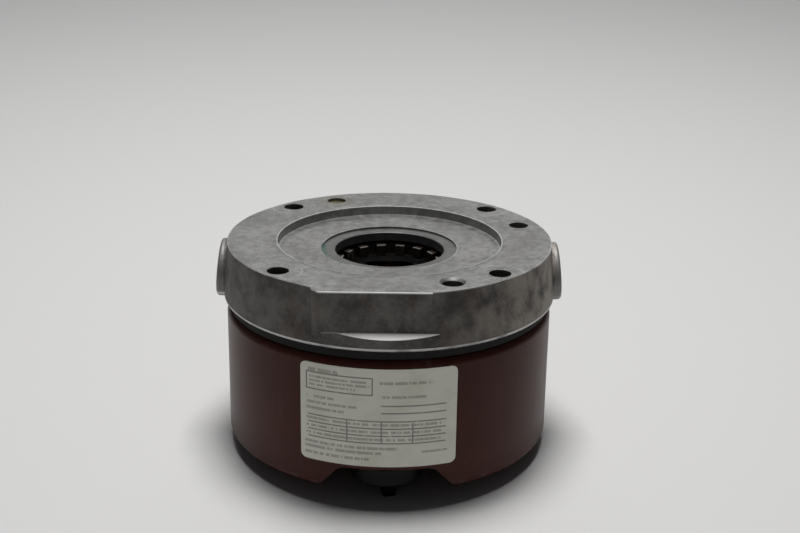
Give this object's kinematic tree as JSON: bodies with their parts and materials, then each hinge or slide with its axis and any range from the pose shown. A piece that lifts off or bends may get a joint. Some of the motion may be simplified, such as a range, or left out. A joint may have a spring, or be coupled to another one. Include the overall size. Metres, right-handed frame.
{
  "type": "electromagnetic clutch",
  "caption": "Spring-set, solenoid-released disc brake with a round cast endplate for a motor face, a drawn steel housing and a quarter-turn manual release knob.",
  "frame": {"origin": "centre of the motor mounting face, on the register and bore axis", "axes": "+Z along the motor shaft axis, out of the mounting face towards the motor; -Y towards the manual release knob; +X through the right-hand conduit boss"},
  "size_m": [0.177, 0.1692, 0.1105],
  "materials": {
    "cast_aluminium": "as-cast wall with machined faces, stained",
    "maroon_paint": "semi-gloss dark maroon paint",
    "black_rubber": "matt rubber",
    "black_plastic": "moulded, satin",
    "label_film": "cream printed film, blank",
    "bright_steel": "bright machined steel",
    "plated_steel": "yellow zinc plate",
    "zinc_steel": "clear zinc plate",
    "dark_steel": "oxidised, oily steel",
    "grey_iron": "turned grey iron",
    "friction_lining": "moulded brown friction material",
    "laminated_steel": "stacked laminations, varnished",
    "copper_winding": "varnished reddish-brown winding",
    "bobbin_plastic": "moulded glass-filled plastic",
    "spring_steel": "oiled spring wire",
    "bronze": "sintered bronze"
  },
  "bodies": {
    "frame": {"endplate": "cast_aluminium", "conduit_plugs": "cast_aluminium", "housing_gasket": "black_rubber", "housing": "maroon_paint", "nameplate": "label_film", "torque_springs": "spring_steel", "spring_pins": "zinc_steel", "carrier_plate": "zinc_steel", "housing_studs": "dark_steel", "housing_posts": "zinc_steel", "housing_screws": "zinc_steel", "carrier_spacers": "zinc_steel", "carrier_screws": "plated_steel", "pivot_yoke": "zinc_steel", "pivot_pin": "bright_steel", "pin_clips": "spring_steel", "solenoid_frame": "laminated_steel", "coil_bobbin": "bobbin_plastic", "coil_winding": "copper_winding", "solenoid_brackets": "zinc_steel", "bracket_screws": "zinc_steel", "shaft_bushing": "bronze"},
    "rotor": {"disc_core": "bright_steel", "lining_front": "friction_lining", "lining_rear": "friction_lining"},
    "pressure_plate": {"pressure_plate": "grey_iron", "pull_studs": "zinc_steel", "pull_nuts": "zinc_steel"},
    "armature": {"plunger": "laminated_steel", "plunger_clevis": "zinc_steel", "link_pin": "bright_steel"},
    "lever": {"lever_arm": "zinc_steel"},
    "release_knob": {"release_knob": "black_plastic", "release_camshaft": "bright_steel"}
  },
  "joints": [
    {"name": "rotor_spin", "type": "hinge", "parent": "frame", "child": "rotor", "pos_m": [0, 0, -0.0146], "axis": [0, 0, 1], "continuous": true},
    {"name": "armature_stroke", "type": "slide", "parent": "frame", "child": "armature", "axis": [0, 0, -1], "range_m": [0, 0.004], "stiffness_N_per_m": 500, "springref_m": -0.02},
    {"name": "lever_pivot", "type": "hinge", "parent": "frame", "child": "lever", "pos_m": [0, 0.058, -0.056], "axis": [1, 0, 0], "range_deg": [0, 3.82]},
    {"name": "pressure_plate_slide", "type": "slide", "parent": "frame", "child": "pressure_plate", "axis": [0, 0, -1], "range_m": [0, 0.0012], "deforming": ["torque_springs"]},
    {"name": "knob_turn", "type": "hinge", "parent": "frame", "child": "release_knob", "pos_m": [0, -0.0625, -0.0965], "axis": [0, 0, 1], "range_deg": [0, 90]}
  ],
  "couplings": [
    {"joint": "lever_pivot", "follows": "armature_stroke", "rad_per_m": 16.667},
    {"joint": "pressure_plate_slide", "follows": "armature_stroke", "ratio": 0.3},
    {"joint": "knob_turn", "follows": "armature_stroke", "rad_per_m": 392.69}
  ]
}
